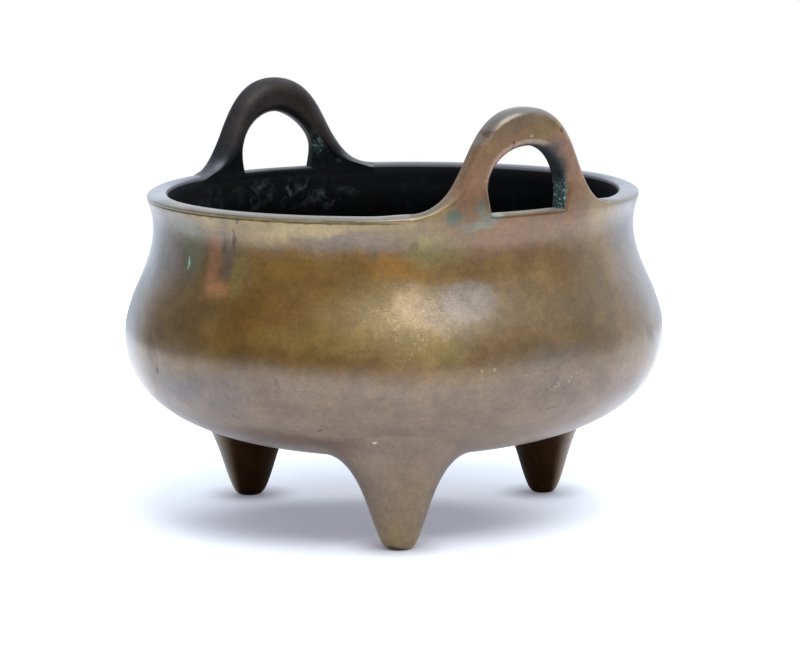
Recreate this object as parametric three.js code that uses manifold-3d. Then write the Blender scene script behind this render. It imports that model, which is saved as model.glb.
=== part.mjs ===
// A bronze tripod censer: a round-bellied bowl with a rim band, two arched ears and three cone feet.
// Millimetres, Z up. The origin is on the floor under the middle of the bowl, the ears are on the X axis.

import * as THREE from 'three';
import { mergeVertices } from 'three/addons/utils/BufferGeometryUtils.js';
import Module from 'manifold-3d';

const wasm = await Module();
wasm.setup();

// Bowl: heights are above the floor, reaches are the lengths of the handles of its profile curves
const bellyRadius = 64.2;
const bellyHeight = 44.6;
const neckRadius = 57;
const bellyReach = 9.25;
const neckReach = 10.15;
const baseRadius = 10;
const baseHeight = 17;
const baseReach = 29.7;
const underbellyReach = 19.4;
const wall = 4;

// Rim band: drops are measured down from the top of the rim, insets inwards from its widest circle
const rimHeight = 78.5;
const rimBandHeight = 3.8;
const neckDrop = 8.5;
const lipRadius = 58.3;
const lipWall = 4.9;
const lipDrop = 1.2;
const grooveInset = 0.55;
const grooveDrop = 1.9;
const rimSeatInset = 0.65;
const crownInset = 2.7;
const mouthEdge = 0.8;

// Ears: heights are above the top of the rim, half widths run along the rim from the middle of an ear
const earHeight = 22.8;
const earToeHalfWidth = 28;
const earHoleHeight = 14.1;
const earHoleHalfWidth = 10.8;
const earThickness = 6;
const earThickeningShare = 0.5;
const earFaceEdge = 0.8;
const earBackEdge = 2.2;
const earSeatDrop = 2.5;
const earJoint = 0.3;
const toeFadeHeight = 6;
const leftEarLag = 0.024;

// Feet: the flare is the round fillet between a foot and the underside of the bowl
const footInset = 22.3;
const footTipRadius = 2.6;
const footSeatRadius = 8.2;
const footSeatDrop = 3;
const footKneeRadius = 5;
const footKneeHeight = 3.2;
const footShinRadius = 6.6;
const footShinDrop = 4;
const flareRadius = 17.5;
const flareShift = 2.5;
const flareSink = 0.15;
const flareSlopeRun = 0.2;
const flareShare = 0.75;
const slimGirthShare = 0.95;
const feetLag = 0.03;

// Faces round each turned piece, and steps along each curve
const turnSteps = 64;
const footSteps = 32;
const undersideSteps = 12;
const floorSteps = 8;
const shoulderSteps = 8;
const lipSteps = 3;
const footSideSteps = 8;
const flareSteps = 6;
const earSteps = 8;
const faceEdgeSteps = 2;
const backEdgeSteps = 3;

// How far a cutting wedge reaches past what it cuts
const overrun = 4;

const bronze = { metalness: 0.85, roughness: 0.42 };

const rimSeatHeight = rimHeight - rimBandHeight;
const rimSeatRadius = lipRadius - rimSeatInset;
const crownRadius = lipRadius - crownInset;
const mouthRadius = lipRadius - lipWall;
const neckHeight = rimHeight - neckDrop;
const footSeatHeight = baseHeight - footSeatDrop;
const footCircleRadius = bellyRadius - footInset;

// A turned solid: the outline's x is the radius and its y the height
function turned(points, steps) {
  const geometry = new THREE.LatheGeometry(points, steps);
  geometry.rotateX(Math.PI / 2);
  return geometry;
}

// A closed mesh as a solid that can be joined and cut
function solidOf(geometry) {
  const bare = geometry.clone();
  bare.deleteAttribute('normal');
  bare.deleteAttribute('uv');
  const merged = mergeVertices(bare);
  const vertProperties = new Float32Array(merged.attributes.position.array);
  const triVerts = new Uint32Array(merged.index.array);
  return new wasm.Manifold(new wasm.Mesh({ numProp: 3, vertProperties, triVerts }));
}

// A solid as a mesh again
function geometryOf(solid) {
  const mesh = solid.getMesh();
  const geometry = new THREE.BufferGeometry();
  geometry.setAttribute('position', new THREE.BufferAttribute(mesh.vertProperties, 3));
  geometry.setIndex(new THREE.BufferAttribute(mesh.triVerts, 1));
  geometry.computeVertexNormals();
  return geometry;
}

// A skin over a row of closed rings of points, with both ends closed
function loft(rings) {
  const sides = rings[0].length;
  const positions = rings.flat().flatMap((point) => point.toArray());
  const index = [];
  for (let ring = 0; ring + 1 < rings.length; ring += 1) {
    for (let side = 0; side < sides; side += 1) {
      const here = ring * sides + side;
      const next = ring * sides + (side + 1) % sides;
      index.push(here, next, next + sides, here, next + sides, here + sides);
    }
  }
  const last = (rings.length - 1) * sides;
  for (let side = 1; side + 1 < sides; side += 1) {
    index.push(0, side + 1, side);
    index.push(last, last + side, last + side + 1);
  }
  const geometry = new THREE.BufferGeometry();
  geometry.setAttribute('position', new THREE.Float32BufferAttribute(positions, 3));
  geometry.setIndex(index);
  return geometry;
}

function named(name, geometry, colour) {
  const material = new THREE.MeshStandardMaterial({ color: colour, ...bronze });
  const mesh = new THREE.Mesh(geometry, material);
  mesh.name = name;
  return mesh;
}

// The underside of the bowl from its flat base out to the belly, moved inwards by an offset
function undersideCurve(offset) {
  return new THREE.CubicBezierCurve(
    new THREE.Vector2(baseRadius, baseHeight + offset),
    new THREE.Vector2(baseRadius + baseReach, baseHeight + offset),
    new THREE.Vector2(bellyRadius - offset, bellyHeight - underbellyReach),
    new THREE.Vector2(bellyRadius - offset, bellyHeight),
  );
}

// The shoulder of the bowl from the belly up to the neck
function shoulderCurve(offset) {
  return new THREE.CubicBezierCurve(
    new THREE.Vector2(bellyRadius - offset, bellyHeight),
    new THREE.Vector2(bellyRadius - offset, bellyHeight + bellyReach),
    new THREE.Vector2(neckRadius - offset, neckHeight - neckReach),
    new THREE.Vector2(neckRadius - offset, neckHeight),
  );
}

// The neck's last stretch, which opens from the narrowest circle to the seat of the rim band
function neckCurve() {
  return new THREE.QuadraticBezierCurve(
    new THREE.Vector2(neckRadius, neckHeight),
    new THREE.Vector2(neckRadius, (neckHeight + rimSeatHeight) / 2),
    new THREE.Vector2(rimSeatRadius, rimSeatHeight),
  );
}

function bowlOutline() {
  const outer = [
    ...undersideCurve(0).getPoints(undersideSteps),
    ...shoulderCurve(0).getPoints(shoulderSteps).slice(1),
    ...neckCurve().getPoints(lipSteps).slice(1),
  ];
  const inner = [
    ...undersideCurve(wall).getPoints(floorSteps),
    ...shoulderCurve(wall).getPoints(shoulderSteps).slice(1),
    new THREE.Vector2(mouthRadius, rimSeatHeight),
  ];
  const underside = new THREE.Vector2(0, baseHeight);
  const floor = new THREE.Vector2(0, baseHeight + wall);
  return [underside, ...outer, ...inner.reverse(), floor];
}

// The height of the underside at a distance from the middle of the bowl
const undersidePoints = undersideCurve(0).getPoints(undersideSteps ** 2);

function undersideHeight(radius) {
  const after = undersidePoints.findIndex((point) => point.x > radius);
  if (after === 0) {
    return baseHeight;
  }
  if (after < 0) {
    return bellyHeight;
  }
  const low = undersidePoints[after - 1];
  const high = undersidePoints[after];
  const share = (radius - low.x) / (high.x - low.x);
  return low.y + (high.y - low.y) * share;
}

// One meridian of a flare, in (distance from the foot's axis, height), in a direction turned from outwards:
// it leaves the foot in the foot's own slope and lands on the underside in the underside's slope
function flareMeridian(turn, girthShare) {
  const cosine = Math.cos(turn);
  const sine = Math.sin(turn);
  const reach = Math.sqrt(flareRadius ** 2 - (flareShift * sine) ** 2) - flareShift * cosine;
  const radiusAt = (distance) => Math.hypot(footCircleRadius + distance * cosine, distance * sine);
  const heightAt = (distance) => undersideHeight(radiusAt(distance)) + flareSink;
  const start = new THREE.Vector2(footSeatRadius * girthShare, footSeatHeight);
  const end = new THREE.Vector2(reach, heightAt(reach));
  const slope = (heightAt(reach) - heightAt(reach - flareSlopeRun)) / flareSlopeRun;
  const lean = girthShare * (footSeatRadius - footShinRadius) / footShinDrop;
  const rise = (end.y - start.y - slope * (end.x - start.x)) / (1 - slope * lean);
  const corner = new THREE.Vector2(start.x + lean * rise, start.y + rise);
  return new THREE.CubicBezierCurve(
    start,
    start.clone().lerp(corner, flareShare),
    end.clone().lerp(corner, flareShare),
    end,
  );
}

// A boss under the bowl: its flat face takes a foot, and its flare runs into the underside.
// A unit lathe, one step of radius to a ring, is laid on the meridians below and inside the wall above.
function bossGeometry(footTurn, girthShare) {
  const rings = [...Array(flareSteps + 1).keys()];
  const below = rings.map((ring) => new THREE.Vector2(ring + 1, 0));
  const above = rings.map((ring) => new THREE.Vector2(ring + 1, 1)).reverse();
  const unit = [new THREE.Vector2(0, 0), ...below, ...above, new THREE.Vector2(0, 1)];
  const geometry = turned(unit, footSteps);
  const position = geometry.attributes.position;
  for (let vertex = 0; vertex < position.count; vertex += 1) {
    const across = new THREE.Vector2(position.getX(vertex), position.getY(vertex));
    const ring = Math.round(across.length()) - 1;
    const isAbove = Math.round(position.getZ(vertex)) === 1;
    const turn = across.angle();
    let distance = 0;
    let height = footSeatHeight;
    if (ring >= 0) {
      const point = flareMeridian(turn, girthShare).getPoint(ring / flareSteps);
      distance = point.x;
      height = point.y;
    }
    const outwards = footCircleRadius + distance * Math.cos(turn);
    const sideways = distance * Math.sin(turn);
    if (isAbove) {
      height = undersideHeight(Math.hypot(outwards, sideways)) + wall / 2;
    }
    position.setXYZ(vertex, outwards, sideways, height);
  }
  geometry.rotateZ(footTurn);
  return geometry;
}

// The feet stand at thirds of a turn; two of them are slimmer and set a little short of their thirds
const thirdTurn = Math.PI * 2 / 3;
const firstFootTurn = -Math.PI / 6;
const feet = [
  { name: 'foot_front_right', turn: firstFootTurn, girthShare: 1 },
  { name: 'foot_back', turn: firstFootTurn + thirdTurn - feetLag, girthShare: slimGirthShare },
  { name: 'foot_front_left', turn: firstFootTurn - thirdTurn - feetLag, girthShare: slimGirthShare },
];

function bowl() {
  let solid = solidOf(turned(bowlOutline(), turnSteps));
  for (const foot of feet) {
    solid = solid.add(solidOf(bossGeometry(foot.turn, foot.girthShare)));
  }
  return named('bowl', geometryOf(solid), 0x8d7a60);
}

// A foot: a round cone with a small flat tip and a soft knee above it
function foot({ name, turn, girthShare }) {
  const side = new THREE.CubicBezierCurve(
    new THREE.Vector2(footTipRadius * girthShare, 0),
    new THREE.Vector2(footKneeRadius * girthShare, footKneeHeight),
    new THREE.Vector2(footShinRadius * girthShare, footSeatHeight - footShinDrop),
    new THREE.Vector2(footSeatRadius * girthShare, footSeatHeight),
  );
  const outline = [
    new THREE.Vector2(0, 0),
    ...side.getPoints(footSideSteps),
    new THREE.Vector2(0, footSeatHeight),
  ];
  const geometry = turned(outline, footSteps);
  const mesh = named(name, geometry, 0x6b5a48);
  mesh.position.set(footCircleRadius * Math.cos(turn), footCircleRadius * Math.sin(turn), 0);
  mesh.rotation.z = turn;
  return mesh;
}

// The top of the rim's section, from its widest circle over the crown to the edge of the mouth
function lipTop() {
  const lip = new THREE.Vector2(lipRadius, rimHeight - lipDrop);
  const crown = new THREE.Vector2(crownRadius, rimHeight);
  const edge = new THREE.Vector2(mouthRadius, rimHeight - mouthEdge);
  const outside = new THREE.QuadraticBezierCurve(lip, new THREE.Vector2(lipRadius, rimHeight), crown);
  const inside = new THREE.QuadraticBezierCurve(crown, new THREE.Vector2(mouthRadius, rimHeight), edge);
  return [...outside.getPoints(lipSteps), ...inside.getPoints(lipSteps).slice(1)];
}

// The rim band's section: a crowned lip over a fine groove
function rimBandOutline() {
  const groove = new THREE.Vector2(lipRadius - grooveInset, rimHeight - grooveDrop);
  const shoulder = new THREE.Vector2(faceRadius(-earSeatDrop), rimHeight - earSeatDrop);
  const seat = [
    new THREE.Vector2(mouthRadius, rimSeatHeight),
    new THREE.Vector2(rimSeatRadius, rimSeatHeight),
  ];
  return [...seat, shoulder, groove, ...lipTop(), seat[0]];
}

// An ear's seat under its base: the same section without the groove
function earBaseOutline() {
  const seat = [
    new THREE.Vector2(mouthRadius, rimHeight - earSeatDrop),
    new THREE.Vector2(faceRadius(-earSeatDrop), rimHeight - earSeatDrop),
  ];
  return [...seat, ...lipTop(), seat[0]];
}

// The radius of the outer face at a height above the top of the rim: the neck's flare runs up into the lip
function faceRadius(height) {
  const low = rimSeatHeight - rimHeight;
  const share = Math.min(1, (height - low) / (-lipDrop - low));
  return rimSeatRadius + (lipRadius - rimSeatRadius) * share;
}

// A wedge round the Z axis that stands on the ears' seat and holds an ear on one side of the bowl
function earWedge(halfTurn, side) {
  const sector = new THREE.Shape();
  const reach = lipRadius + overrun;
  sector.moveTo(0, 0);
  sector.absarc(0, 0, reach, side - halfTurn, side + halfTurn, false);
  sector.lineTo(0, 0);
  const depth = earSeatDrop + earHeight + overrun;
  const geometry = new THREE.ExtrudeGeometry(sector, { depth, bevelEnabled: false });
  geometry.translate(0, 0, rimHeight - earSeatDrop);
  return solidOf(geometry);
}

const earHalfTurn = earToeHalfWidth / lipRadius;

// The left ear is set a little past the opposite side
const ears = [
  { name: 'ear_right', turn: 0 },
  { name: 'ear_left', turn: Math.PI + leftEarLag },
];

function rimBand() {
  let solid = solidOf(turned(rimBandOutline(), turnSteps));
  for (const { turn } of ears) {
    solid = solid.subtract(earWedge(earHalfTurn, turn));
  }
  return named('rim_band', geometryOf(solid), 0x9c9082);
}

// The outer edge of half an ear from its toe to its top: shares along the rim and up
const earEdgeShares = [
  [[1, 0], [0.69, 0], [0.555, 0.42], [0.51, 0.526]],
  [[0.51, 0.526], [0.438, 0.693], [0.322, 1], [0, 1]],
];

// The edge of half a hole from the sill to its top: shares along the rim and up
const earHoleShares = [
  [[0.94, 0], [0.98, 0.13], [1, 0.22], [1, 0.35]],
  [[1, 0.35], [1, 0.65], [0.52, 1], [0, 1]],
];

function edgeCurve(shares, halfWidth, height) {
  const points = shares.map(([along, up]) => new THREE.Vector2(along * halfWidth, up * height));
  return new THREE.CubicBezierCurve(...points);
}

// One corner of an ear's section: a quarter circle, in (distance from the hole's edge, depth)
function corner(centreAlong, centreDeep, radius, from, steps) {
  const points = [];
  for (let step = 0; step <= steps; step += 1) {
    const angle = from + Math.PI / 2 * step / steps;
    points.push([centreAlong + radius * Math.cos(angle), centreDeep + radius * Math.sin(angle)]);
  }
  return points;
}

// An ear's section: small round edges on its outer face and large ones on its back
function earSection(width, thickness) {
  const face = Math.min(earFaceEdge, width / 2);
  const back = Math.min(earBackEdge, width / 2);
  return [
    ...corner(face, face, face, Math.PI, faceEdgeSteps),
    [width / 2, 0],
    ...corner(width - face, face, face, Math.PI * 3 / 2, faceEdgeSteps),
    ...corner(width - back, thickness - back, back, 0, backEdgeSteps),
    [width / 2, thickness],
    ...corner(back, thickness - back, back, Math.PI / 2, backEdgeSteps),
  ];
}

// Bends a place along the rim, above it and into its thickness round the mouth, and near the rim
// draws the top down as the lip's own crown does
function bent(along, height, depth) {
  const landShare = Math.max(0, 1 - depth / crownInset) ** 2;
  const fadeShare = Math.min(1, Math.max(0, 1 - height / toeFadeHeight));
  const drop = height < 0 ? 0 : lipDrop * landShare * fadeShare;
  const radius = faceRadius(height - drop) - depth;
  const place = new THREE.Vector2(radius, 0).rotateAround(new THREE.Vector2(), along / lipRadius);
  return new THREE.Vector3(place.x, place.y, rimHeight + height - drop);
}

// One ring of an ear between a point on the hole's edge and one on the outer edge:
// it is as thick as the rim at the sill, and thicker up the legs
function earRing(hole, edge) {
  const width = hole.distanceTo(edge);
  const riseShare = Math.max(0, hole.y) / earHoleHeight;
  const thickShare = Math.min(1, riseShare / earThickeningShare);
  const thickness = THREE.MathUtils.lerp(lipWall, earThickness, thickShare);
  return earSection(width, thickness).map(([along, depth]) => {
    const place = hole.clone().lerp(edge, along / width);
    return bent(place.x, place.y, depth);
  });
}

function earPoints(shares, halfWidth, height) {
  const [low, high] = shares.map((part) => edgeCurve(part, halfWidth, height));
  return [...low.getPoints(earSteps), ...high.getPoints(earSteps).slice(1)];
}

// An ear stands on its own stretch of rim, which is let down into the rim band
function ear(name, side) {
  const holes = earPoints(earHoleShares, earHoleHalfWidth, earHoleHeight);
  const edges = earPoints(earEdgeShares, earToeHalfWidth, earHeight);
  const root = new THREE.Vector2(0, earSeatDrop);
  const halves = [
    earRing(holes[0].clone().sub(root), edges[0].clone().sub(root)),
    ...holes.map((hole, step) => earRing(hole, edges[step])),
  ];
  const mirrored = halves.slice(0, -1).reverse().map((ring) => (
    ring.map((point) => new THREE.Vector3(point.x, -point.y, point.z))
  ));
  const arch = solidOf(loft([...halves, ...mirrored]));
  const base = solidOf(turned(earBaseOutline(), turnSteps));
  const baseHalfTurn = earHalfTurn - earJoint / lipRadius;
  const solid = base.add(arch).intersect(earWedge(baseHalfTurn, 0));
  const mesh = named(name, geometryOf(solid), 0x7d6650);
  mesh.rotation.z = side;
  return mesh;
}

const censer = new THREE.Group();
censer.add(bowl());
censer.add(rimBand());
for (const { name, turn } of ears) {
  censer.add(ear(name, turn));
}
for (const each of feet) {
  censer.add(foot(each));
}

export default censer;
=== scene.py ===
"""A patinated bronze tripod censer, dressed round its CAD frame: bowl, feet, rim band and two arched ears."""

from bisect import bisect_right
from math import atan2, cos, hypot, pi, radians, sin, sqrt

import bmesh
import bpy
from mathutils import Matrix, Vector
from mathutils.geometry import interpolate_bezier


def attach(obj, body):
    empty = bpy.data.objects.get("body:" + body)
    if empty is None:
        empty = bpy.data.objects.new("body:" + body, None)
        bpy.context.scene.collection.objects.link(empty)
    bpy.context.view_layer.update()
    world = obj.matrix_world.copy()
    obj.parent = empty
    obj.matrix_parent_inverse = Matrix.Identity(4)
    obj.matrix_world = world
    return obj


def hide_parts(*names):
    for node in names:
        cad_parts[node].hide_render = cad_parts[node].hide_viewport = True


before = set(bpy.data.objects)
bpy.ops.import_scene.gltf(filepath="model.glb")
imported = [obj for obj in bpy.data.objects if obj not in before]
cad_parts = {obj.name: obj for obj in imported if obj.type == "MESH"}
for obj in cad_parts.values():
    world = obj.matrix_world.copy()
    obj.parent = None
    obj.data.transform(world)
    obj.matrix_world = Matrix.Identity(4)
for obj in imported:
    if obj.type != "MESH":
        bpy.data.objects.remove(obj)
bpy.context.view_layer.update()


# Bowl: the turned body of the casting, 4 mm thick, with a round belly and a drawn-in neck. Under it the
# metal runs down into the three feet in round flares. The real one is cast in one pour over a turned wax.

NECK_HEIGHT = 0.070
BELLY = (0.0642, 0.0446)
UNDERSIDE = ((0.010, 0.0179), (0.0397, 0.0179), (0.0642, 0.0247), BELLY)
SHOULDER = (BELLY, (0.0642, 0.05385), (0.057, 0.05985), (0.057, NECK_HEIGHT))
NECK = ((0.057, NECK_HEIGHT), (0.057, 0.07157), (0.05722, 0.07313), (0.05765, 0.0747))
INNER_UNDERSIDE = ((0.010, 0.021), (0.0397, 0.021), (0.0602, 0.0252), (0.0602, 0.0446))
INNER_SHOULDER = ((0.0602, 0.0446), (0.0602, 0.05385), (0.053, 0.05985), (0.053, NECK_HEIGHT))
INNER_NECK = ((0.053, NECK_HEIGHT), (0.053, 0.0722), (0.0534, 0.0731), (0.0534, 0.0747))
FOOT_CIRCLE = 0.0419
FOOT_SEAT = (0.00842, 0.014)
FOOT_LEAN = 0.42
FLARE_RADIUS = 0.0175
FLARE_SHIFT = 0.0025
FLARE_SHARE = 0.61
FEET = {
    "foot_front_right": (radians(-30.4), 1.03),
    "foot_back": (radians(90) - 0.03, 0.93),
    "foot_front_left": (radians(-150) - 0.03, 1.01),
}


def curve(knots, steps):
    """Points along a curve from its knot, two handles and knot, each (radius, height)."""
    return interpolate_bezier(*[Vector((r, 0, z)) for r, z in knots], steps + 1)


def turned(outline, steps, closed=False, start=0.0, angle=2 * pi):
    """A bmesh turned about the upright axis from an outline in the XZ plane."""
    made = bmesh.new()
    verts = [made.verts.new(point) for point in outline]
    edges = [made.edges.new(pair) for pair in zip(verts, verts[1:])]
    if closed:
        edges.append(made.edges.new((verts[-1], verts[0])))
    bmesh.ops.rotate(made, verts=verts, cent=(0, 0, 0), matrix=Matrix.Rotation(start, 3, "Z"))
    full = abs(angle - 2 * pi) < 1e-9
    bmesh.ops.spin(
        made, geom=verts + edges, cent=(0, 0, 0), axis=(0, 0, 1), angle=angle, steps=steps, use_merge=full
    )
    bmesh.ops.remove_doubles(made, verts=made.verts, dist=1e-6)
    return made


def piece(name, made, materials, slot, *nodes):
    """Turns a bmesh into a finished piece that stands for CAD nodes. Its faces may have several materials."""
    bmesh.ops.recalc_face_normals(made, faces=made.faces)
    for face in made.faces:
        face.smooth = True
    mesh = bpy.data.meshes.new(name)
    made.to_mesh(mesh)
    made.free()
    mesh.set_sharp_from_angle(angle=radians(42))
    shown = bpy.data.objects.new(name, mesh)
    bpy.context.scene.collection.objects.link(shown)
    for material in materials:
        mesh.materials.append(material)
    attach(shown, "root")
    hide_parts(*nodes)
    return shown


UNDERSIDE_POINTS = curve(UNDERSIDE, 600)
UNDERSIDE_RADII = [point.x for point in UNDERSIDE_POINTS]


def underside_height(radius):
    """Height of the bare underside at a distance from the axis."""
    after = bisect_right(UNDERSIDE_RADII, radius)
    if after == 0:
        return UNDERSIDE[0][1]
    if after == len(UNDERSIDE_POINTS):
        return BELLY[1]
    low, high = UNDERSIDE_POINTS[after - 1], UNDERSIDE_POINTS[after]
    return low.z + (high.z - low.z) * (radius - low.x) / (high.x - low.x)


def flare_height(place, turn, girth):
    """Height of a foot's flare over a place of the underside, or None outside the flare."""
    out = place.x * cos(turn) + place.y * sin(turn) - FOOT_CIRCLE
    side = place.y * cos(turn) - place.x * sin(turn)
    distance = hypot(out, side)
    cosine, sine = (out / distance, side / distance) if distance else (1.0, 0.0)
    reach = sqrt(FLARE_RADIUS**2 - (FLARE_SHIFT * sine) ** 2) - FLARE_SHIFT * cosine
    seat = FOOT_SEAT[0] * girth
    lean = FOOT_LEAN * girth
    if distance >= reach:
        return None
    if distance <= seat:
        return FOOT_SEAT[1] - (seat - distance) / lean

    def base(away):
        return underside_height(hypot(FOOT_CIRCLE + away * cosine, away * sine))

    run = 0.0002
    slope = (base(reach) - base(reach - run)) / run
    start = Vector((seat, FOOT_SEAT[1]))
    end = Vector((reach, base(reach)))
    rise = (end.y - start.y - slope * (end.x - start.x)) / (1 - slope * lean)
    corner = Vector((start.x + lean * rise, start.y + rise))
    first, last = start.lerp(corner, FLARE_SHARE), end.lerp(corner, FLARE_SHARE)
    low, high = 0.0, 1.0
    for _ in range(24):
        share = (low + high) / 2
        rest = 1 - share
        point = start * rest**3 + first * 3 * rest**2 * share + last * 3 * rest * share**2 + end * share**3
        low, high = (share, high) if point.x < distance else (low, share)
    return point.y


def in_flare(place, margin):
    """Whether a place is within a margin of the ring where a foot's flare lands."""
    for turn, _ in FEET.values():
        middle = FOOT_CIRCLE - FLARE_SHIFT
        if hypot(place.x - middle * cos(turn), place.y - middle * sin(turn)) < FLARE_RADIUS + margin:
            return True
    return False


def added(tree, kind, inputs, **settings):
    """A new node with its settings and its inputs, each of which is a value or the output of a node."""
    node = tree.nodes.new("ShaderNode" + kind)
    for setting, value in settings.items():
        setattr(node, setting, value)
    for key, value in inputs.items():
        if isinstance(value, bpy.types.NodeSocket):
            tree.links.new(value, node.inputs[key])
        else:
            node.inputs[key].default_value = value
    return node


def grouped(name, inputs, outputs):
    """A node group with its input and output sockets, each (name, kind)."""
    tree = bpy.data.node_groups.new(name, "ShaderNodeTree")
    for socket, kind in inputs:
        tree.interface.new_socket(socket, in_out="INPUT", socket_type="NodeSocket" + kind)
    for socket, kind in outputs:
        tree.interface.new_socket(socket, in_out="OUTPUT", socket_type="NodeSocket" + kind)
    return tree, tree.nodes.new("NodeGroupInput"), tree.nodes.new("NodeGroupOutput")


def warp_group():
    """Shifts a place by noise, so that marks and zones get uneven borders."""
    inputs = [("Vector", "Vector"), ("Scale", "Float"), ("Reach", "Float")]
    tree, given, result = grouped("warp", inputs, [("Vector", "Vector")])
    place, scale, reach = given.outputs["Vector"], given.outputs["Scale"], given.outputs["Reach"]
    noise = added(tree, "TexNoise", {"Vector": place, "Scale": scale, "Detail": 3.0})
    middle = (0.5, 0.5, 0.5)
    centred = added(tree, "VectorMath", {0: noise.outputs["Color"], 1: middle}, operation="SUBTRACT")
    shift = added(tree, "VectorMath", {0: centred.outputs[0], "Scale": reach}, operation="SCALE")
    moved = added(tree, "VectorMath", {0: place, 1: shift.outputs[0]}, operation="ADD")
    tree.links.new(moved.outputs[0], result.inputs["Vector"])
    return tree


def cloud_group():
    """A mask of soft clouds: the share of noise between a low and a high value."""
    inputs = [("Vector", "Vector")] + [(name, "Float") for name in ("Scale", "Detail", "Low", "High")]
    tree, given, result = grouped("cloud", inputs, [("Mask", "Float")])
    noise = added(tree, "TexNoise", {name: given.outputs[name] for name in ("Vector", "Scale", "Detail")})
    low, high = given.outputs["Low"], given.outputs["High"]
    limits = {"Value": noise.outputs["Fac"], "From Min": low, "From Max": high}
    share = added(tree, "MapRange", limits, interpolation_type="SMOOTHSTEP")
    tree.links.new(share.outputs["Result"], result.inputs["Mask"])
    return tree


def blot_group():
    """A mask of one soft oval mark on the surface."""
    inputs = [("Vector", "Vector"), ("Centre", "Vector"), ("Turn", "Vector"), ("Half Size", "Vector")]
    tree, given, result = grouped("blot", inputs + [("Softness", "Float")], [("Mask", "Float")])
    oval = {
        "Vector": given.outputs["Vector"],
        "Location": given.outputs["Centre"],
        "Rotation": given.outputs["Turn"],
        "Scale": given.outputs["Half Size"],
    }
    flat = added(tree, "Mapping", oval, vector_type="TEXTURE")
    away = added(tree, "VectorMath", {0: flat.outputs[0]}, operation="LENGTH")
    near = added(tree, "Math", {0: 1.0, 1: given.outputs["Softness"]}, operation="SUBTRACT")
    far = added(tree, "Math", {0: 1.0, 1: given.outputs["Softness"]}, operation="ADD")
    limits = {"Value": away.outputs["Value"], "From Min": near.outputs[0], "From Max": far.outputs[0]}
    share = added(tree, "MapRange", {**limits, "To Min": 1.0, "To Max": 0.0}, interpolation_type="SMOOTHSTEP")
    tree.links.new(share.outputs["Result"], result.inputs["Mask"])
    return tree


def speck_group():
    """A mask of small specks, where noise lets them through, such as pits or grains."""
    inputs = [("Vector", "Vector")] + [(name, "Float") for name in ("Scale", "Size", "Patches", "Low")]
    tree, given, result = grouped("speck", inputs, [("Mask", "Float")])
    cells = added(tree, "TexVoronoi", {"Vector": given.outputs["Vector"], "Scale": given.outputs["Scale"]})
    noise = {"Vector": given.outputs["Vector"], "Scale": given.outputs["Patches"], "Detail": 2.0}
    patches = added(tree, "TexNoise", noise)
    over = added(tree, "Math", {0: patches.outputs["Fac"], 1: given.outputs["Low"]}, operation="SUBTRACT")
    opened = added(tree, "Math", {0: over.outputs[0], 1: 6.0}, operation="MULTIPLY", use_clamp=True)
    reach = added(tree, "Math", {0: opened.outputs[0], 1: given.outputs["Size"]}, operation="MULTIPLY")
    depth = added(tree, "Math", {0: reach.outputs[0], 1: cells.outputs["Distance"]}, operation="SUBTRACT")
    share = added(tree, "Math", {0: depth.outputs[0], 1: 12.0}, operation="MULTIPLY", use_clamp=True)
    tree.links.new(share.outputs[0], result.inputs["Mask"])
    return tree


WARP, CLOUD, BLOT, SPECK = warp_group(), cloud_group(), blot_group(), speck_group()


def used(tree, group, inputs):
    """The output of a node group set into a material, with its inputs."""
    return added(tree, "Group", inputs, node_tree=group).outputs[0]


def mixed(tree, share, under, over, blend="MIX"):
    """The colour of one layer over another by a share. Each colour is a value or the output of a node."""
    paints = [paint if isinstance(paint, bpy.types.NodeSocket) else (*paint, 1) for paint in (under, over)]
    inputs = {0: share, 6: paints[0], 7: paints[1]}
    return added(tree, "Mix", inputs, data_type="RGBA", blend_type=blend).outputs[2]


def levelled(tree, value, low, high, to_low=0.0, to_high=1.0):
    """A value eased from one range to another."""
    limits = {"Value": value, "From Min": low, "From Max": high, "To Min": to_low, "To Max": to_high}
    return added(tree, "MapRange", limits, interpolation_type="SMOOTHSTEP").outputs["Result"]


def product(tree, one, two):
    """Two values multiplied."""
    return added(tree, "Math", {0: one, 1: two}, operation="MULTIPLY").outputs[0]


def total(tree, one, two):
    """Two values added up."""
    return added(tree, "Math", {0: one, 1: two}, operation="ADD").outputs[0]


def larger(tree, one, two):
    """The larger of two values."""
    return added(tree, "Math", {0: one, 1: two}, operation="MAXIMUM").outputs[0]


def smaller(tree, one, two):
    """The smaller of two values."""
    return added(tree, "Math", {0: one, 1: two}, operation="MINIMUM").outputs[0]


def height_of(tree, place):
    """The height of a place, or how far a normal looks up."""
    return added(tree, "SeparateXYZ", {0: place}).outputs["Z"]


def towards(tree, vector, direction):
    """How far a vector reaches in a direction."""
    return added(tree, "VectorMath", {0: vector, 1: direction}, operation="DOT_PRODUCT").outputs["Value"]


def distance_to(tree, place, point):
    """The distance from a place to a point."""
    return added(tree, "VectorMath", {0: place, 1: point}, operation="DISTANCE").outputs["Value"]


def level_direction(tree, place):
    """The level direction from the axis of the bowl to a place."""
    flat = added(tree, "VectorMath", {0: place, 1: (1, 1, 0)}, operation="MULTIPLY").outputs[0]
    return added(tree, "VectorMath", {0: flat}, operation="NORMALIZE").outputs[0]


def aspect_group():
    """How far a face looks away from the axis of the bowl, and how far it looks up."""
    inputs = [("Vector", "Vector"), ("Normal", "Vector")]
    tree, given, result = grouped("aspect", inputs, [("Outwards", "Float"), ("Upwards", "Float")])
    outwards = towards(tree, level_direction(tree, given.outputs["Vector"]), given.outputs["Normal"])
    tree.links.new(outwards, result.inputs["Outwards"])
    tree.links.new(height_of(tree, given.outputs["Normal"]), result.inputs["Upwards"])
    return tree


ASPECT = aspect_group()


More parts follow.
